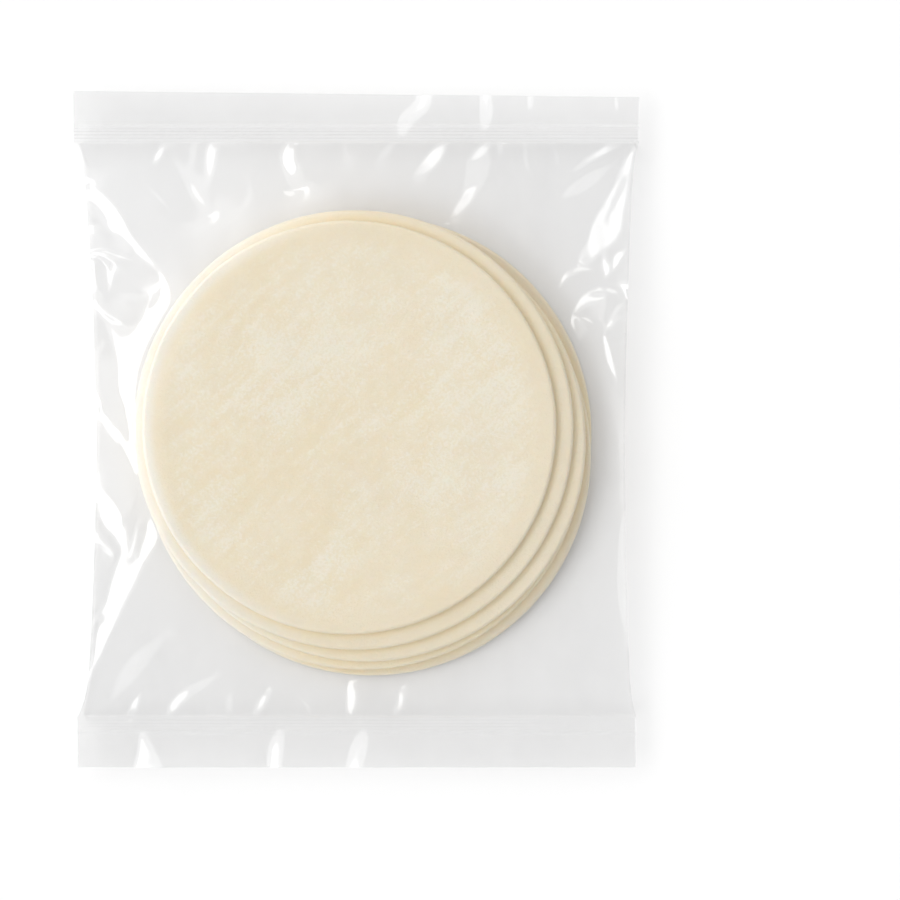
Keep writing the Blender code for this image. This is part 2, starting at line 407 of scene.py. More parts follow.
def droop(mesh, index):  # a rim with nothing right under it hangs a little
    points = np.empty(len(mesh.vertices) * 3)
    mesh.vertices.foreach_get("co", points)
    points = points.reshape(-1, 3)
    if 0 < index < count - 1:
        x, y, radius = stack["wrappers"][index + 1]
        past = np.hypot(points[:, 0] / mm - x, points[:, 1] / mm - y) - radius
        sunk = ease((past + 0.5) / stack["droopReach"])
        points[:, 2] -= stack["droop"] * stack["thickness"] * mm * sunk
    mesh.vertices.foreach_set("co", points.ravel())
    x, y, radius = stack["wrappers"][max(index - 1, 0)]
    fromAbove = np.hypot(points[:, 0] / mm - x, points[:, 1] / mm - y) - radius
    if index == 0:
        fromAbove += 2 * radius                  # nothing lies on the top one
    mesh.attributes.new("fromAbove", "FLOAT", "POINT").data.foreach_set("value", fromAbove)


def outward(mesh):
    shape = bmesh.new()
    shape.from_mesh(mesh)
    bmesh.ops.recalc_face_normals(shape, faces=shape.faces)
    shape.to_mesh(mesh)
    shape.free()


def makeStack():
    tree, sockets = wrapperTree()
    material = doughMaterial()
    for index in range(count):
        makeWrapper(index, tree, sockets, material)
    print("wrappers ready")


makeStack()


bag = {
    "width": bagWidth,
    "length": bagLength,
    "sealInner": 65.5,       # the sealed bands start this far from the middle
    "sealOuter": 68.5,
    "leftWaist": 4.8,        # how far the folded sides draw in at mid length
    "rightWaist": 2.9,
    "shoulder": 4.6,         # length of the quick narrowing beside each header
    "shoulderShare": 0.55,
    "leftLean": 1.0,         # the sides stand this much further in at the bottom
    "rightLean": 0.8,
    "cornerDrop": 1.4,       # the top edge falls towards its right corner
    "headerHeight": 4.7,
    "leftHeight": 6.5,       # of the folded sides at mid length
    "rightHeight": 7.2,
    "backLip": 0.25,         # the back film lies flat and turns up this near its borders
    "clearance": 0.22,       # film over the rims
    "dome": 1.3,             # air lifts the film this much over the middle of the wrappers
    "domeReach": 9.0,        # and it comes down within this much of the top one's rim
    "bridge": 0.29,          # slope of the film from the top wrapper's rim over the lower rims
    "filmGap": 0.15,         # between the two films in the headers
    "puff": 0.012,           # the air inside bends the free film outwards by this much a mm
    "ridges": 4,
    "ridgeHeight": 0.03,
    "crumple": 0.05,         # slope of the faint unevenness everywhere
    "crumpleSize": 5.0,
    "streaky": 0.07,         # how much the tilt varies inside a crease
    "streakSize": 1.1,
    "sealGrip": 5.0,         # how firmly the sealed bands lie flat
    "gripInFolds": 10,       # and how firmly a crease keeps its slope
    "blur": 0.5,             # in cells, over all of the film
    "northLift": 10.0,       # creases that lean towards the top edge are steeper by this angle,
    "liftFrom": (40, 105, 125),      # between these azimuths, in full up to the middle one
    "seed": 4,
}
columnsIn = {"left": 54, "middle": 148, "right": 46}
marginWidth = {"left": 19.0, "right": 15.0}
rowsIn = {"flap": 8, "seal": 16, "end": 60, "middle": 152}
endLength = 25.5             # rows are closer together this far from the sealed bands
headerRows = rowsIn["flap"] + rowsIn["seal"]
columns = sum(columnsIn.values())
rows = rowsIn["middle"] + 2 * (rowsIn["end"] + headerRows)
backStep = 4                 # the back film's cells are this many times larger
highest = 40.0               # the front film stays under this
lowest = 0.35                # and over this where no wrapper is under it


def waist(y):
    inside = np.maximum(bag["sealInner"] - np.abs(y), 0)
    shoulder = 1 - np.exp(-inside / bag["shoulder"])
    belly = np.sin(math.pi * inside / (2 * bag["sealInner"])) ** 1.5
    return bag["shoulderShare"] * shoulder + (1 - bag["shoulderShare"]) * belly


def leftEdge(y):
    return -bag["width"] / 2 + bag["leftLean"] * (0.5 - y / bag["length"]) + bag["leftWaist"] * waist(y)


def rightEdge(y):
    return bag["width"] / 2 - bag["rightLean"] * (0.5 - y / bag["length"]) - bag["rightWaist"] * waist(y)


def filmGrid():
    stops = [bag["length"] / 2, bag["sealOuter"], bag["sealInner"], bag["sealInner"] - endLength]
    stops = [-stop for stop in stops] + stops[::-1]
    parts = ["flap", "seal", "end", "middle", "end", "seal", "flap"]
    runs = [np.linspace(low, high, rowsIn[part] + 1)[1:]
            for low, high, part in zip(stops, stops[1:], parts)]
    row = np.concatenate([stops[:1]] + runs)
    span = bag["width"] - bag["leftWaist"] - bag["rightWaist"]
    left, right = marginWidth["left"] / span, 1 - marginWidth["right"] / span
    share = np.concatenate([np.linspace(0, left, columnsIn["left"] + 1),
                            np.linspace(left, right, columnsIn["middle"] + 1)[1:],
                            np.linspace(right, 1, columnsIn["right"] + 1)[1:]])
    y = np.repeat(row[:, None], columns + 1, 1)
    x = leftEdge(y) + (rightEdge(y) - leftEdge(y)) * share[None, :]
    return x, y


def stackDistance(x, y):  # from the stack's outline, less than 0 inside it
    return np.min([np.hypot(x - cx, y - cy) - r for cx, cy, r in stack["wrappers"]], axis=0)


def stackTop(x, y):
    top = np.zeros_like(x)
    edge = stack["edge"]
    for index, (cx, cy, radius) in enumerate(stack["wrappers"]):
        away = np.hypot(x - cx, y - cy) - radius
        fall = np.clip((away + edge) / edge, 0, 1)
        height = levelOf(index) - edge * (1 - np.sqrt(1 - 0.999 * fall ** 2))   # not quite upright
        top = np.where(away < 0, np.maximum(top, height), top)
    return top


def sideHeight(y, side):
    belly = np.cos(math.pi * np.minimum(np.abs(y) / bag["sealInner"], 1) / 2) ** 0.6
    return bag["headerHeight"] + (bag[side] - bag["headerHeight"]) * belly


def fold(route, width, tilt=24.0, azimuth=172, fullest=0.5, soft=0.5, blunt=0.7, firm=bag["gripInFolds"]):
    return {"route": route, "width": width, "tilt": tilt, "azimuth": azimuth, "fullest": fullest,
            "soft": soft, "blunt": blunt, "firm": firm}


def facet(corners, tilt=24.0, azimuth=172, soft=0.5, firm=bag["gripInFolds"]):
    return {"corners": corners, "tilt": tilt, "azimuth": azimuth, "soft": soft, "firm": firm}


# Where the slack film creases: leaf-shaped folds along a route, and flat facets with corners.
# A facet leans towards its azimuth by its tilt. A fold leans across its route, on its azimuth's side.
folds = {
    # left side
    "left_corner": fold([(-64, 64.8), (-62.8, 62), (-62.4, 56.8)], 1.4),
    "left_border": fold([(-62, 53.2), (-61.2, 40.8), (-60.4, 24.8), (-59.6, 6.8), (-60, -11.6),
                         (-60.4, -30)], 1.4, tilt=21, blunt=0.15),
    "left_wedge": facet([(-62.4, 56.4), (-60, 54), (-57.2, 50.8), (-58.8, 50), (-60.4, 50.4),
                         (-62.4, 49.2)], azimuth=190),
    "left_long": fold([(-61.2, 55.2), (-58, 52), (-55.2, 48.4), (-52.8, 44.4), (-50, 41.2),
                       (-47.6, 38.8), (-44.8, 36)], 3.4, azimuth=220, fullest=0.35),
    "left_glow": facet([(-60.8, 49.6), (-57.6, 48.8), (-54.4, 45.2), (-51.2, 40.4), (-54.8, 40.8),
                        (-60.8, 41.6)], tilt=19.8, azimuth=178, soft=1.2, firm=20),
    "left_streak_a": fold([(-61.2, 46.4), (-58.8, 46), (-55.6, 44.4)], 1.4, azimuth=90, firm=20),
    "left_branch": fold([(-61.2, 40.4), (-57.6, 40.4), (-54, 39.2), (-50, 38), (-46.8, 36.8)],
                        2.1, azimuth=80, firm=25),
    "left_pocket_high": facet([(-54.8, 37.6), (-50, 37.2), (-46, 35.6), (-44.8, 32.4), (-49.2, 31.6),
                               (-54.8, 31.6)], tilt=18, azimuth=250, soft=0.8, firm=5),
    "left_pocket_low": facet([(-59.2, 29.2), (-53.6, 29.6), (-47.2, 29.2), (-49.6, 25.6),
                              (-52.4, 24.4), (-56, 26)], tilt=12, azimuth=60, soft=0.8, firm=5),
    "left_loop_a": fold([(-60.8, 38.4), (-58.8, 38), (-56.8, 36.4)], 1.1, azimuth=70, firm=20),
    "left_loop_b": fold([(-56.4, 36), (-56, 33.2), (-56.4, 30.8)], 1.4),
    "left_loop_c": facet([(-60.8, 33.2), (-59.2, 32.4), (-57.2, 30.8), (-57.2, 30), (-60.4, 30)],
                         azimuth=200),
    "left_loop_dark": facet([(-59.6, 36.8), (-57.6, 36), (-56.8, 32), (-58.4, 32.4)],
                            tilt=12, azimuth=20),
    "left_loop_line": fold([(-55.6, 30.8), (-50.8, 30.4), (-46.4, 29.6)],
                           1.4, tilt=22, azimuth=90, firm=20),
    "left_tip": fold([(-46.8, 37.6), (-44.8, 35.6), (-43.6, 33.2), (-42.8, 30.4), (-43.2, 27.6),
                      (-45.2, 24)], 1.4),
    "left_broad": facet([(-60, 28.8), (-57.6, 26), (-54.8, 24), (-51.6, 23.2), (-49.2, 24.8),
                         (-46.8, 27.6), (-43.2, 30), (-44, 25.2), (-46.8, 20), (-49.2, 14.4),
                         (-50, 8.8), (-50.8, 2), (-50.8, -3.2), (-52.4, 4), (-54, 9.6), (-54.4, 15.2),
                         (-56, 21.2)], azimuth=165, soft=0.8),
    "left_smudge": fold([(-58.8, 17.6), (-57.6, 19.6)], 1.4, tilt=19),
    "left_dark_strip": facet([(-59.2, 8.8), (-54.8, 8.8), (-52.4, 4.8), (-51.6, -2.4), (-54.4, 0),
                              (-57.2, 3.6)], tilt=4, azimuth=350, soft=0.8, firm=4),
    "left_streak_low": fold([(-58, 4.4), (-56, 0.4), (-53.2, -5.2)], 1.4, tilt=19.5),
    "left_low_pane": facet([(-61.2, 1.2), (-58, 2.4), (-54.8, -2.4), (-51.6, -7.6), (-50, -14.8),
                            (-52.4, -18.8), (-56, -16), (-59.2, -11.6), (-61.2, -9.2)],
                           tilt=15, azimuth=178, soft=0.8, firm=20),
    "left_low_leaf": facet([(-59.6, -12.4), (-57.6, -14), (-55.6, -16), (-54, -18), (-52.8, -21.2),
                            (-53.2, -27.2), (-55.6, -24.4), (-57.6, -22), (-59.2, -18.4)],
                           tilt=21, azimuth=195, soft=0.5, firm=20),
    "left_low_stub": facet([(-59.6, -24.4), (-56.8, -25.6), (-54.8, -28), (-55.6, -29.6), (-58, -28.4),
                            (-59.6, -27.6)], tilt=21, azimuth=205, soft=0.5, firm=20),
    "left_low_fan": fold([(-52.4, -21.2), (-52.4, -25.2), (-53.2, -30), (-54.8, -36.8)], 2.1, tilt=20),
    "left_low_fan_b": fold([(-49.6, -20.8), (-50.4, -25.2), (-51.6, -30)], 1.4, tilt=20),
    "left_low_inner": fold([(-46.8, -20.8), (-46.4, -24), (-48, -28), (-49.2, -31.2)], 3.2, fullest=0.35),
    "left_low_broad": facet([(-50.4, -30), (-48, -30), (-50, -34.8), (-52.8, -40.4), (-56, -47.2),
                             (-58.8, -53.2), (-62, -59.6), (-60.8, -52.8), (-60.8, -44),
                             (-57.6, -40.4), (-56, -34.8), (-53.6, -28.8)],
                            tilt=19.4, azimuth=165, soft=0.8, firm=20),
    "left_low_shade": fold([(-60.8, -53.6), (-60.4, -48), (-58.8, -44)], 1.8, tilt=12, azimuth=350),
    # right side
    "right_long": facet([(63.6, 64.4), (61.2, 62), (59.6, 59.2), (58.4, 55.6), (55.6, 50.8),
                         (53.6, 47.2), (52.4, 42.8), (50, 38.8), (53.2, 38), (56.4, 40.4),
                         (58.8, 42.4), (60.4, 44.8), (61.6, 49.2), (62.4, 54.8), (63.2, 61.6)],
                        tilt=21.7, azimuth=160, soft=0.6, firm=30),
    "right_long_streak": fold([(61.6, 58), (59.6, 53.6), (56.8, 47.6)], 0.9, tilt=18.6),
    "right_edge": fold([(63.2, 61.6), (62.8, 54.8), (61.6, 49.2), (60.8, 45.2)],
                       1.1, tilt=12, azimuth=350),
    "right_rib": fold([(56, 40), (56.8, 37.2), (56.8, 34)], 2.1, tilt=23, firm=30),
    "right_arch": fold([(45.6, 31.2), (47.2, 34.4), (49.6, 36), (53.2, 36.4), (56, 35.2)],
                       1.8, tilt=25.5, azimuth=130, firm=30),
    "right_twig": fold([(61.6, 40.8), (59.6, 39.2), (58.4, 36.4)], 2.1, tilt=25.5, azimuth=150, firm=30),
    "right_branch": fold([(48.8, 24.4), (50.4, 26.8), (53.2, 29.6), (56.8, 31.2)],
                         3.9, tilt=25.5, azimuth=140, fullest=0.6, firm=30),
    "right_branch_glow": facet([(50.4, 26.8), (53.2, 28.4), (56.4, 29.6), (57.2, 26.8), (55.6, 24.4),
                                (52.4, 24.8)], tilt=20.6, azimuth=172, soft=1.2, firm=30),
    "right_branch_end": fold([(55.6, 32.4), (58, 31.6), (61.2, 30)], 2.1, azimuth=80, firm=30),
    "right_hook": fold([(50, 26), (52.8, 24.8), (55.2, 23.2), (56.8, 22.4)], 2.1, azimuth=70, firm=30),
    "right_hook_end": fold([(56.4, 22.4), (58.4, 24.4), (61.2, 26)], 1.8, tilt=23, azimuth=120, firm=30),
    "right_hook_line": fold([(57.2, 24.4), (59.2, 27.2), (61.6, 29.2)],
                            1.6, tilt=25.5, azimuth=130, firm=30),
    "right_thorn": fold([(48.8, 26), (49.2, 23.6), (50.4, 21.2)], 1.1, tilt=25.5, firm=30),
    "right_line": fold([(56, 22.8), (56.8, 19.2), (58, 14.4), (59.6, 10.4)],
                       1.8, tilt=25.5, azimuth=200, firm=30),
    "right_strip": facet([(57.2, 8.8), (61.6, 10), (61.6, -2.4), (61.6, -16), (59.6, -16), (59.2, -2.4)],
                         tilt=17, soft=1.5, firm=4),
    "right_low": facet([(60, -20.8), (62, -20.8), (62.8, -38.8), (63.6, -59.6), (61.2, -48),
                        (59.2, -36.8)], tilt=20, soft=0.8),
    # above the wrappers
    "top_a": fold([(-43.6, 64.8), (-44.8, 62.8), (-46.4, 60.4)], 2.1, tilt=22.5),
    "top_b_glow": fold([(-42, 63.2), (-37.2, 56.8), (-33.6, 49.2)], 5.5, tilt=13.8, soft=2.5),
    "top_b": fold([(-43.2, 63.6), (-40.4, 60), (-37.6, 56)], 1.6, tilt=18.5),
    "top_b_tip": fold([(-38, 56.8), (-36.4, 53.6), (-34, 50.4)], 2.5, tilt=22.5),
    "top_c": fold([(-36.8, 66), (-37.2, 62.8), (-37.6, 59.6)], 2.3, tilt=18),
    "top_d": fold([(-32, 66.4), (-33.2, 62.4), (-33.6, 55.6)], 3.2, tilt=22.5, fullest=0.4),
    "top_e_glow": fold([(-16.8, 61.6), (-14.8, 58.4), (-12.4, 55.2)],
                       5.5, tilt=17.8, fullest=0.7, soft=1.6),
    "top_e": fold([(-14.8, 66), (-15.6, 62), (-14.4, 57.2)], 3.7, tilt=22.5, fullest=0.55),
    "top_speck_a": fold([(-20.4, 66), (-20.8, 63.2)], 1.1, tilt=16.5),
    "top_speck_b": fold([(-2.8, 66), (-2.8, 62)], 1.1, tilt=16.8),
    "top_arc_a": fold([(-54.8, 56), (-50.8, 56.4), (-47.2, 54.8), (-43.2, 50.8), (-37.6, 46.8)],
                      1.4, tilt=18),
    "top_arc_b": fold([(-24, 57.2), (-24.4, 52.4), (-26.8, 48.8), (-29.2, 44.4)], 1.1, tilt=17.5),
    "top_f": fold([(8.4, 65.6), (6.8, 63.2), (4.4, 61.6)], 2.1, tilt=19.5),
    "top_g": fold([(20.8, 66.4), (18.4, 62.8), (16, 60), (12.8, 57.6)], 3.9, tilt=23.8),
    "top_h_body": facet([(29.6, 64.8), (30.8, 61.6), (29.6, 56.8), (27.2, 53.6), (24.4, 52.4),
                         (24.4, 56.8), (25.2, 61.2)], tilt=18.2, soft=0.8),
    "top_h": fold([(30.8, 66), (28.4, 63.6), (25.2, 60.4)], 2.7, tilt=22.5),
    "top_h_tip": fold([(27.6, 55.6), (24.8, 52), (21.2, 47.6)], 3.0, tilt=22.5),
    "top_i": fold([(32.8, 65.2), (32.4, 61.6)], 2.1, tilt=19.5),
    "top_arc_c": fold([(38.8, 64.8), (38.4, 61.6), (40, 56.4)], 1.6, tilt=17.5),
    "top_arc_d": fold([(44.4, 64.8), (45.6, 62), (45.6, 58.8)], 1.6, tilt=17.7),
    "top_j": fold([(55.2, 63.6), (58, 64.8), (60.4, 65.6)], 1.4, tilt=18.5),
    "top_k": fold([(48.4, 58), (52.8, 61.2), (57.2, 63.6), (61.2, 64.8)], 2.1, tilt=21.1),
    "top_l": fold([(60, 61.2), (56, 58.8), (51.6, 55.6), (46.4, 52.8)], 3.7, tilt=20.1, fullest=0.6),
    "top_l_line": fold([(46.8, 53.2), (39.6, 49.2), (31.2, 44)], 1.1, tilt=18),
    # below the wrappers
    "low_glow": fold([(-43.6, -47.2), (-50.4, -54), (-56, -62)], 5.0, tilt=13.5, soft=2.5),
    "low_a": fold([(-51.6, -66.8), (-50.8, -63.6), (-49.2, -60)], 2.5, tilt=24, fullest=0.35),
    "low_b_glow": fold([(-41.6, -63.6), (-37.6, -59.6), (-31.6, -56.4)], 3.0, tilt=16.5, soft=1.2),
    "low_b": fold([(-43.2, -65.6), (-41.2, -62.4), (-38, -59.2)], 3.0, tilt=23.8),
    "low_speck_a": fold([(-33.6, -60.8), (-33.6, -65.2)], 1.4, tilt=17.5),
    "low_speck_b": fold([(-28.8, -59.6), (-29.2, -65.6)], 2.3, tilt=17.7),
    "low_c": fold([(-20, -59.6), (-21.6, -62.4), (-23.6, -65.6)], 2.7, tilt=23.8),
    "low_d_glow": fold([(-14.4, -59.2), (-12, -62), (-10.8, -64.4)], 2.1, tilt=17.8, soft=0.8),
    "low_d": fold([(-12, -62), (-10.8, -63.6), (-10.8, -66)], 1.4, tilt=24),
    "low_e": fold([(-1.6, -56.8), (-1.2, -61.2), (-2, -66)], 3.2, tilt=22.5),
    "low_f": fold([(10, -58.8), (10, -62), (8.4, -65.6)], 2.5, tilt=21.5),
    # folds of the flat ends
    "flap_top_a": fold([(16.4, 78), (14.4, 73.6), (11.6, 70.8), (10, 66.8)],
                       4.6, tilt=19.5, soft=2, blunt=0.3),
    "flap_top_b": fold([(29.2, 78), (29.6, 73.2), (29.2, 68)], 3.4, tilt=20, soft=1.6, blunt=0.3),
    "flap_top_c": fold([(39.6, 78), (39.6, 72.4)], 2.1, tilt=18, soft=1.2),
    "flap_top_d": fold([(58.8, 76.8), (59.6, 72.8)], 1.4, tilt=19.5),
    "flap_low_a": facet([(-49.6, -68.8), (-48.4, -69.2), (-46, -73.2), (-43.6, -78.4), (-50.8, -78.4),
                         (-50, -73.6)], tilt=20, soft=1.4),
    "flap_low_b": fold([(-17.2, -68.4), (-18.4, -73.2), (-18.8, -78.4)],
                       3.9, tilt=20.7, soft=1.4, blunt=0.3),
    "flap_low_c": fold([(1.6, -68.8), (0.4, -73.2), (-1.2, -78.4)], 4.3, tilt=19.9, soft=1.8, blunt=0.3),
}


def routeThrough(points, closed=False, samples=60):  # one smooth line through the points, evenly sampled
    given = np.array(points, float)
    before, after = 2 * given[0] - given[1], 2 * given[-1] - given[-2]
    knots = np.vstack([given[-1], given, given[:2]] if closed else [before, given, after])
    runs = []
    t = np.linspace(0, 1, samples, endpoint=False)[:, None]
    for a, b, c, d in zip(knots, knots[1:], knots[2:], knots[3:]):
        runs.append(0.5 * (2 * b + (c - a) * t + (2 * a - 5 * b + 4 * c - d) * t ** 2
                           + (3 * b - a - 3 * c + d) * t ** 3))
    route = np.vstack(runs + [knots[-2]])
    length = np.concatenate([[0], np.cumsum(np.hypot(*np.diff(route, axis=0).T))])
    wanted = np.linspace(0, length[-1], samples)
    return np.column_stack([np.interp(wanted, length, route[:, axis]) for axis in (0, 1)])


def creaseAt(x, y, crease):  # 1 inside the crease and 0 outside it, and the slopes that it wants
    around = "corners" in crease
    route = routeThrough(crease["corners"] if around else crease["route"], around)
    half = 0.0 if around else crease["width"] / 2
    low, high = route.min(0) - half - 1, route.max(0) + half + 1
    near = (x > low[0]) & (x < high[0]) & (y > low[1]) & (y < high[1])
    px, py = x[near][:, None], y[near][:, None]
    gaps = np.hypot(px - route[:, 0], py - route[:, 1])
    nearest = gaps.argmin(1)
    away = gaps[np.arange(len(nearest)), nearest]
    turn = math.radians(crease["azimuth"])
    lean = np.array([math.cos(turn), math.sin(turn)])
    if around:
        x1, y1 = route.T
        x2, y2 = np.roll(route, -1, axis=0).T
        rise = np.where(np.abs(y2 - y1) < 1e-9, 1e-9, y2 - y1)
        crossed = ((y1 > py) != (y2 > py)) & (px < (x2 - x1) * (py - y1) / rise + x1)
        within = np.where(crossed.sum(1) % 2 == 1, away, -away)
        across = np.tile(lean, (len(nearest), 1))
    else:
        along = nearest / (len(route) - 1)
        power = math.log(0.5) / math.log(crease["fullest"])
        within = half * np.sin(math.pi * along ** power) ** crease["blunt"] - away
        ahead = np.gradient(route, axis=0)
        across = np.column_stack([-ahead[:, 1], ahead[:, 0]]) / np.hypot(*ahead.T)[:, None]
        across = (across * np.sign((across @ lean).sum()))[nearest]
    share = np.zeros(x.shape)
    slopes = np.zeros((2, *x.shape))
    share[near] = ease(within / crease["soft"] + 0.5)
    azimuth = np.degrees(np.arctan2(across[:, 1], across[:, 0]))
    first, full, none = bag["liftFrom"]
    lift = ease((none - azimuth) / (none - full)) * (azimuth > first)
    tilt = crease["tilt"] + bag["northLift"] * lift
    slanted, drawnOut = x[near] * 1.3 + y[near] * 0.4, y[near] * 0.5
    streaks = softNoise(slanted, drawnOut, bag["streakSize"], bag["seed"] + 3)
    tilt = tilt * (1 + bag["streaky"] * streaks)
    slopes[:, near] = -np.tan(np.radians(tilt)) * across.T
    return share, slopes


def onFinerGrid(film):
    finer = np.zeros([2 * side - 1 for side in film.shape])
    finer[::2, ::2] = film
    finer[1::2, ::2] = (film[:-1] + film[1:]) / 2
    finer[:, 1::2] = (finer[:, :-1:2] + finer[:, 2::2]) / 2
    return finer


def relaxed(film, passes, x, y, low, high, pinned, height, slopeX, slopeY, grip, puff):
    film = np.where(pinned, height, np.clip(film, low, high))
    stepX, stepY = np.diff(x, axis=1), np.diff(y, axis=0)
    reachX, reachY = np.gradient(x, axis=1), np.gradient(y, axis=0)
    pullX = (grip[:, 1:] + grip[:, :-1]) / 2 * (reachY[:, 1:] + reachY[:, :-1]) / 2 / stepX
    pullY = (grip[1:] + grip[:-1]) / 2 * (reachX[1:] + reachX[:-1]) / 2 / stepY
    riseX = (slopeX[:, 1:] + slopeX[:, :-1]) / 2 * stepX
    riseY = (slopeY[1:] + slopeY[:-1]) / 2 * stepY + (slopeX[1:] + slopeX[:-1]) / 2 * np.diff(x, axis=0)
    total, offset = np.zeros_like(film), puff * reachX * reachY
    total[:, :-1] += pullX
    total[:, 1:] += pullX
    total[:-1] += pullY
    total[1:] += pullY
    offset[:, :-1] -= pullX * riseX
    offset[:, 1:] += pullX * riseX
    offset[:-1] -= pullY * riseY
    offset[1:] += pullY * riseY
    row, column = np.indices(film.shape)
    for _ in range(passes):
        for parity in (0, 1):                    # like the two colours of a chessboard
            pull = offset.copy()
            pull[:, :-1] += pullX * film[:, 1:]
            pull[:, 1:] += pullX * film[:, :-1]
            pull[:-1] += pullY * film[1:]
            pull[1:] += pullY * film[:-1]
            moved = film + 1.7 * (pull / total - film)   # overshoots, to settle sooner
            mine = ((row + column) % 2 == parity) & ~pinned
            film = np.where(mine, np.clip(moved, low, high), film)
    return film


# heights of a taut film over low and under high, which takes the wanted slopes as far as its grip allows
def settle(x, y, low, high, pinned, height, slopeX, slopeY, grip, puff):
    fields = (x, y, low, high, pinned, height, slopeX, slopeY, grip, puff)
    film = np.maximum(low, height)[::8, ::8]
    for step, passes in ((8, 300), (4, 250), (2, 200), (1, 150)):    # coarse grids first
        if step < 8:
            film = onFinerGrid(film)
        film = relaxed(film, passes, *(field[::step, ::step] for field in fields))
    return film


def blurred(height, sigma):
    reach = int(3 * sigma) + 1
    taps = np.exp(-0.5 * (np.arange(-reach, reach + 1) / sigma) ** 2)
    taps /= taps.sum()
    for axis in (0, 1):
        padding = [(0, 0), (0, 0)]
        padding[axis] = (reach, reach)
        padded = np.pad(height, padding, mode="reflect", reflect_type="odd")
        size = height.shape[axis]
        height = sum(tap * (padded[k:k + size] if axis == 0 else padded[:, k:k + size])
                     for k, tap in enumerate(taps))
    return height


def frontFilm(x, y):
    top = stackTop(x, y)
    cx, cy, radius = stack["wrappers"][0]
    inward = radius - np.hypot(x - cx, y - cy)
    arch = bag["dome"] * (1 - (1 - np.clip(inward / bag["domeReach"], 0, 1)) ** 2)
    arch = arch + bag["bridge"] * np.minimum(inward, 0)
    body = np.abs(y) < bag["sealInner"] - 1e-6
    onLine = np.abs(np.abs(y) - bag["sealInner"]) < 1e-6
    inSeal = (np.abs(y) > bag["sealInner"]) & (np.abs(y) < bag["sealOuter"])
    low = np.where(top > 0, np.maximum(top, levelOf(0) + arch) + bag["clearance"], lowest)
    high = np.full_like(x, highest)
    pinned = onLine.copy()
    pinned[:, 0] |= body[:, 0]
    pinned[:, -1] |= body[:, -1]
    height = np.where(x < 0, sideHeight(y, "leftHeight"), sideHeight(y, "rightHeight"))
    away = stackDistance(x, y)
    off = ease(away + 0.5)
    slopeX = bag["crumple"] * softNoise(x, y, bag["crumpleSize"], bag["seed"]) * off
    slopeY = bag["crumple"] * softNoise(x, y, bag["crumpleSize"], bag["seed"] + 1) * off
    grip = np.where(inSeal, bag["sealGrip"], 1.0)
    slopeX = np.where(inSeal, 0.0, slopeX)
    slopeY = np.where(inSeal, 0.0, slopeY)
    for crease in folds.values():
        share, slopes = creaseAt(x, y, crease)
        share = share * off
        slopeX = slopeX * (1 - share) + slopes[0] * share
        slopeY = slopeY * (1 - share) + slopes[1] * share
        grip = grip * (1 - share) + crease["firm"] * share
    film = settle(x, y, low, high, pinned, height, slopeX, slopeY, grip, bag["puff"] * body * off)
    film = blurred(film, bag["blur"])
    # the blur pushes none of it into the dough
    film = np.maximum(film, np.where(top > 0, top + bag["clearance"] / 2, 0.3))
    across = (np.abs(y) - bag["sealInner"]) / (bag["sealOuter"] - bag["sealInner"])
    ridge = 0.5 - 0.5 * np.cos(2 * math.pi * bag["ridges"] * np.clip(across, 0, 1))
    return film, ridge * bag["ridgeHeight"]


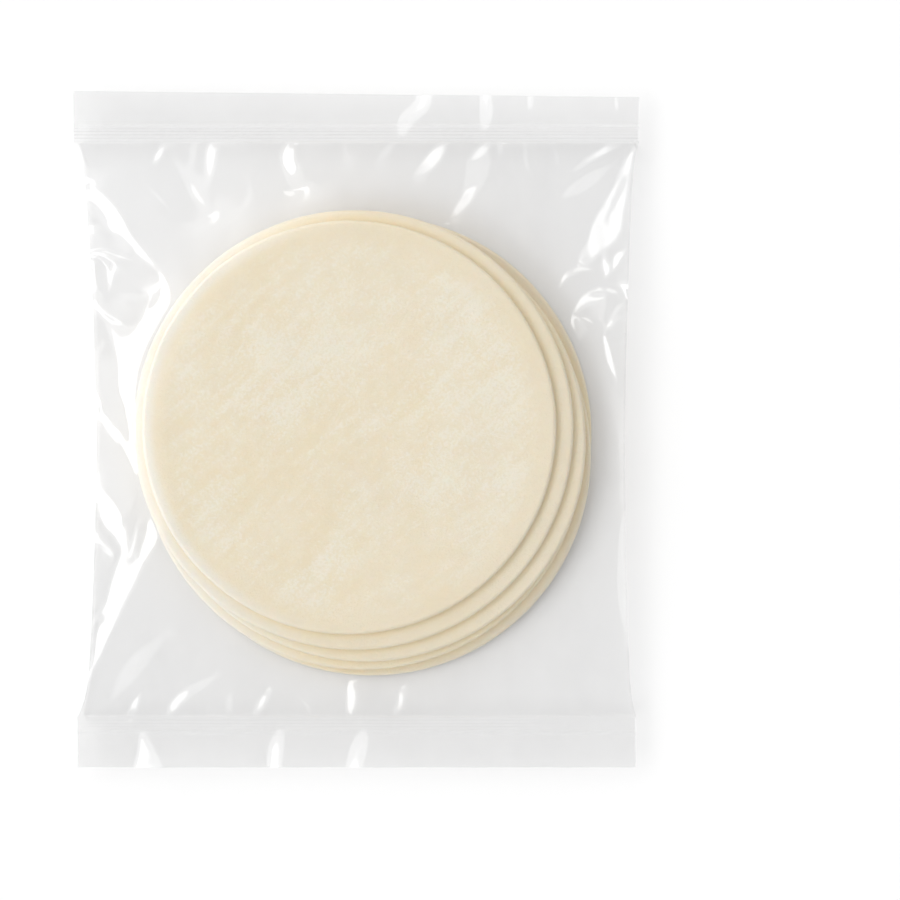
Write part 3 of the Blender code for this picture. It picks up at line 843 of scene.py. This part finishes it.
# one closed surface: the front film on the full grid, the back film coarser between the headers
def filmMesh(x, y, front, ridge):
    end = bag["length"] / 2
    drop = bag["cornerDrop"] * ease((y - bag["sealOuter"]) / (end - bag["sealOuter"]) * 0.5) * 2
    drop = drop * (x - leftEdge(y)) / (rightEdge(y) - leftEdge(y))
    size = (rows + 1) * (columns + 1)
    points = np.stack([x, y - drop, front + ridge], -1).reshape(-1, 3)
    frontId = np.arange(size).reshape(rows + 1, columns + 1)
    backId = np.full((rows + 1, columns + 1), -1)
    first, last = headerRows, rows - headerRows
    inHeader = np.zeros((rows + 1, columns + 1), bool)
    inHeader[:first + 1] = inHeader[last:] = True
    inHeader[0] = inHeader[-1] = inHeader[:, 0] = inHeader[:, -1] = False
    coarse = np.zeros_like(inHeader)
    coarse[first + backStep:last:backStep, backStep:-1:backStep] = True
    backHeight = np.where(inHeader, front - bag["filmGap"] - ridge, 0.0)
    own = inHeader | coarse
    backId[own] = size + np.arange(own.sum())
    shared = ~own                                # the border belongs to both films
    shared[1:-1, 1:-1] = False
    backId[shared] = frontId[shared]
    backX, backY = x.copy(), y - drop
    backX[first + 1:last, backStep] = leftEdge(y[first + 1:last, 0]) + bag["backLip"]
    backX[first + 1:last, -1 - backStep] = rightEdge(y[first + 1:last, 0]) - bag["backLip"]
    backY[first + backStep] = y[first] + bag["backLip"]
    backY[last - backStep] = y[last] - bag["backLip"]
    extra = np.stack([backX[own], backY[own], backHeight[own]], -1)
    points = np.vstack([points, extra])
    a, b = frontId[:-1, :-1], frontId[:-1, 1:]
    c, d = frontId[1:, 1:], frontId[1:, :-1]
    faces = np.stack([a, b, c, d], -1).reshape(-1, 4).tolist()
    for start, stop in ((0, first), (last, rows)):
        part = backId[start:stop + 1]
        a, b, c, d = part[:-1, :-1], part[1:, :-1], part[1:, 1:], part[:-1, 1:]
        faces += np.stack([a, b, c, d], -1).reshape(-1, 4).tolist()
    for r in range(first, last, backStep):
        for col in range(0, columns, backStep):
            r1, c1 = r + backStep, col + backStep
            left = [backId[k, col] for k in range(r, r1)] if col == 0 else [backId[r, col]]
            upper = [backId[r1, k] for k in range(col, c1)] if r1 == last else [backId[r1, col]]
            right = [backId[k, c1] for k in range(r1, r, -1)] if c1 == columns else [backId[r1, c1]]
            lower = [backId[r, k] for k in range(c1, col, -1)] if r == first else [backId[r, c1]]
            faces.append([int(v) for v in left + upper + right + lower])
    mesh = bpy.data.meshes.new("film_bag")
    mesh.from_pydata((points * mm).tolist(), [], faces)
    mesh.validate()
    mesh.polygons.foreach_set("use_smooth", [True] * len(mesh.polygons))
    rim = np.zeros(len(points), bool)            # the folded and cut edges stay crisp
    rim[frontId[0]] = rim[frontId[-1]] = rim[frontId[:, 0]] = rim[frontId[:, -1]] = True
    ends = np.empty(len(mesh.edges) * 2, np.int32)
    mesh.edges.foreach_get("vertices", ends)
    crisp = mesh.attributes.new("sharp_edge", "BOOLEAN", "EDGE")
    foot = np.zeros((rows + 1, columns + 1), bool)
    foot[first + backStep:last:backStep, [backStep, -1 - backStep]] = True
    foot[[first + backStep, last - backStep], backStep:-1:backStep] = True
    turned = np.zeros(len(points), bool)
    turned[backId[foot]] = True
    ends = ends.reshape(-1, 2)
    crisp.data.foreach_set("value", rim[ends].all(1) | turned[ends].all(1))
    return mesh


clearFilm = {
    "gleam": 0.08,           # share of light that the film mirrors straight on
    "clear": (0.99, 0.99, 0.99, 1),
    "dullAndShade": (0.55, 0.55, 0.55, 1),
    "glintWhite": (0.93, 0.93, 0.93, 1),
    "cornerShade": 0.044,     # painted shade: the film darkens from the lit top left corner across the bag to this
    "cornerShadeFrom": (-108.0, -15.0),
    "headerShade": 0.85,      # share of it in the top header
    "unevenDull": 0.022,
    "lineDull": 0.045,
    "crestGlintShare": 0.05,      # painted highlight: a thin light line past each sealed band
}


def filmMaterial():
    material, work = newMaterial("clear_film")
    place = work.make("ShaderNodeTexCoord").output("Object")
    parts = work.make("ShaderNodeSeparateXYZ", None, {0: place})
    side, along = parts.output("X"), parts.output("Y")
    fromMiddle = along.maths("ABSOLUTE", along)
    inner, outer = bag["sealInner"], bag["sealOuter"]
    pitch = (outer - inner) * mm / bag["ridges"]
    wave = (fromMiddle - inner * mm) * (2 * math.pi / pitch)
    inSeal = work.between(fromMiddle, (inner - 0.2) * mm, (inner + 0.2) * mm)
    inSeal = inSeal * (1 - work.between(fromMiddle, (outer - 0.2) * mm, (outer + 0.2) * mm))
    streaked = work.noise(work.vector("MULTIPLY", place, (1.0, 8.0, 0.0)), 25.0, 1.0)
    lines = inSeal * work.between(wave.maths("COSINE", wave), 0.1, 1.0)
    lines = lines * work.between(streaked, 0.35, 0.6)
    lines = lines * work.between(along, -0.01, 0.01, 0.3, 1.0)   # fainter at the bottom
    # painted highlight along the crest past each sealed band, fainter at the bottom
    crestGlint = (fromMiddle - (outer + 0.6) * mm) / (0.5 * mm)
    crestGlint = (1 - crestGlint * crestGlint).clamped() * work.between(along, -0.01, 0.01, 0.4, 1.0)
    uneven = work.noise(work.vector("MULTIPLY", place, (1.0, 0.6, 0.0)), 55.0, 3.0, 0.55)
    # painted shade: darker away from the lit top left corner; the uneven share and the sealed lines are
    # the film's own dullness
    across = work.between(side - 0.8 * along, *(x * mm for x in clearFilm["cornerShadeFrom"]))
    inHeader = work.between(along, (inner - 1.5) * mm, (outer - 0.5) * mm)
    across = across + (clearFilm["headerShade"] - across) * inHeader
    dullAndShade = (clearFilm["cornerShade"] * across + clearFilm["unevenDull"] * work.between(uneven, 0.4, 0.8)
            + clearFilm["lineDull"] * lines)
    bump = work.make("ShaderNodeBump", None,
                     {"Strength": 0.1, "Distance": 0.0002, "Height": work.noise(place, 260.0, 2.0, 0.5)})
    clear = work.make("ShaderNodeBsdfTransparent", None, {"Color": clearFilm["clear"]})
    gloss = work.make("ShaderNodeBsdfGlossy", None,
                      {"Color": (1, 1, 1, 1), "Roughness": 0.07, "Normal": bump})
    # the milky layer carries the painted shade and the painted crest highlight, besides the film's own
    # dullness and sealed lines
    dullShadeGlintColour = work.mix(crestGlint, clearFilm["dullAndShade"], clearFilm["glintWhite"])
    dullShadeGlintLayer = work.make("ShaderNodeBsdfPrincipled", None, {"Base Color": dullShadeGlintColour, "Roughness": 0.6})
    facingAway = work.make("ShaderNodeLayerWeight", None, {"Blend": 0.5, "Normal": bump}).output("Facing")
    gleam = clearFilm["gleam"] + (1 - clearFilm["gleam"]) * facingAway ** 5   # the same from both sides
    body = work.make("ShaderNodeMixShader", None, {0: gleam, 1: clear, 2: gloss})
    dullShadeGlintShare = dullAndShade + clearFilm["crestGlintShare"] * crestGlint
    surface = work.make("ShaderNodeMixShader", None, {0: dullShadeGlintShare, 1: body, 2: dullShadeGlintLayer})
    work.make("ShaderNodeOutputMaterial", None, {"Surface": surface})
    return material


def makeBag():
    x, y = filmGrid()
    front, ridge = frontFilm(x, y)
    mesh = filmMesh(x, y, front, ridge)
    mesh.materials.append(filmMaterial())
    clearBag = bpy.data.objects.new("film_bag", mesh)
    bpy.context.scene.collection.objects.link(clearBag)
    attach(clearBag, "root")
    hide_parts("sealed_bag")
    print("film ready, triangles:", sum(len(face.vertices) - 2 for face in mesh.polygons))


makeBag()
